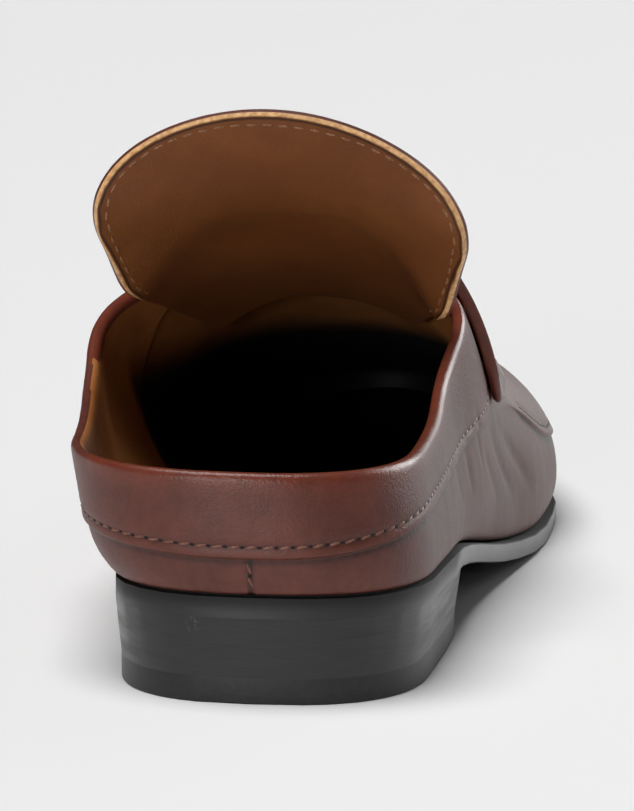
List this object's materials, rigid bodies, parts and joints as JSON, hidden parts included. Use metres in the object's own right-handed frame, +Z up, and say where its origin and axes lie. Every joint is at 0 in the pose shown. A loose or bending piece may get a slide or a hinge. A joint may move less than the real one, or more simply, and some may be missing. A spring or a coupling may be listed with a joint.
{
  "type": "mule",
  "caption": "Slip-on leather mule for the right foot, with a low closed back, a folded collar band, a tall rounded tongue, a saddle strap, a thin sole and a low stacked heel.",
  "frame": {"origin": "on the floor under the middle of the heel, where the heel's top piece rests", "axes": "+Z up from the floor, +Y towards the toe, +X towards the outer side of the right foot"},
  "size_m": [0.0875, 0.2666, 0.103],
  "materials": {
    "upper_leather": "satin reddish brown leather with a fine grain, tan lining inside",
    "sole_leather": "black dyed and burnished sole edge",
    "insole_leather": "soft black sock leather",
    "strap_leather": "satin reddish brown leather with a fine grain and dyed edges",
    "tongue_leather": "brown leather in front, tan lining behind, raw light edge",
    "heel_leather": "black burnished stacked leather",
    "heel_rubber": "matt black rubber"
  },
  "bodies": {
    "root": {"upper": "upper_leather", "outsole": "sole_leather", "insole": "insole_leather", "strap": "strap_leather", "tongue": "tongue_leather", "heel_stack": "heel_leather", "heel_top_piece": "heel_rubber"}
  },
  "joints": []
}
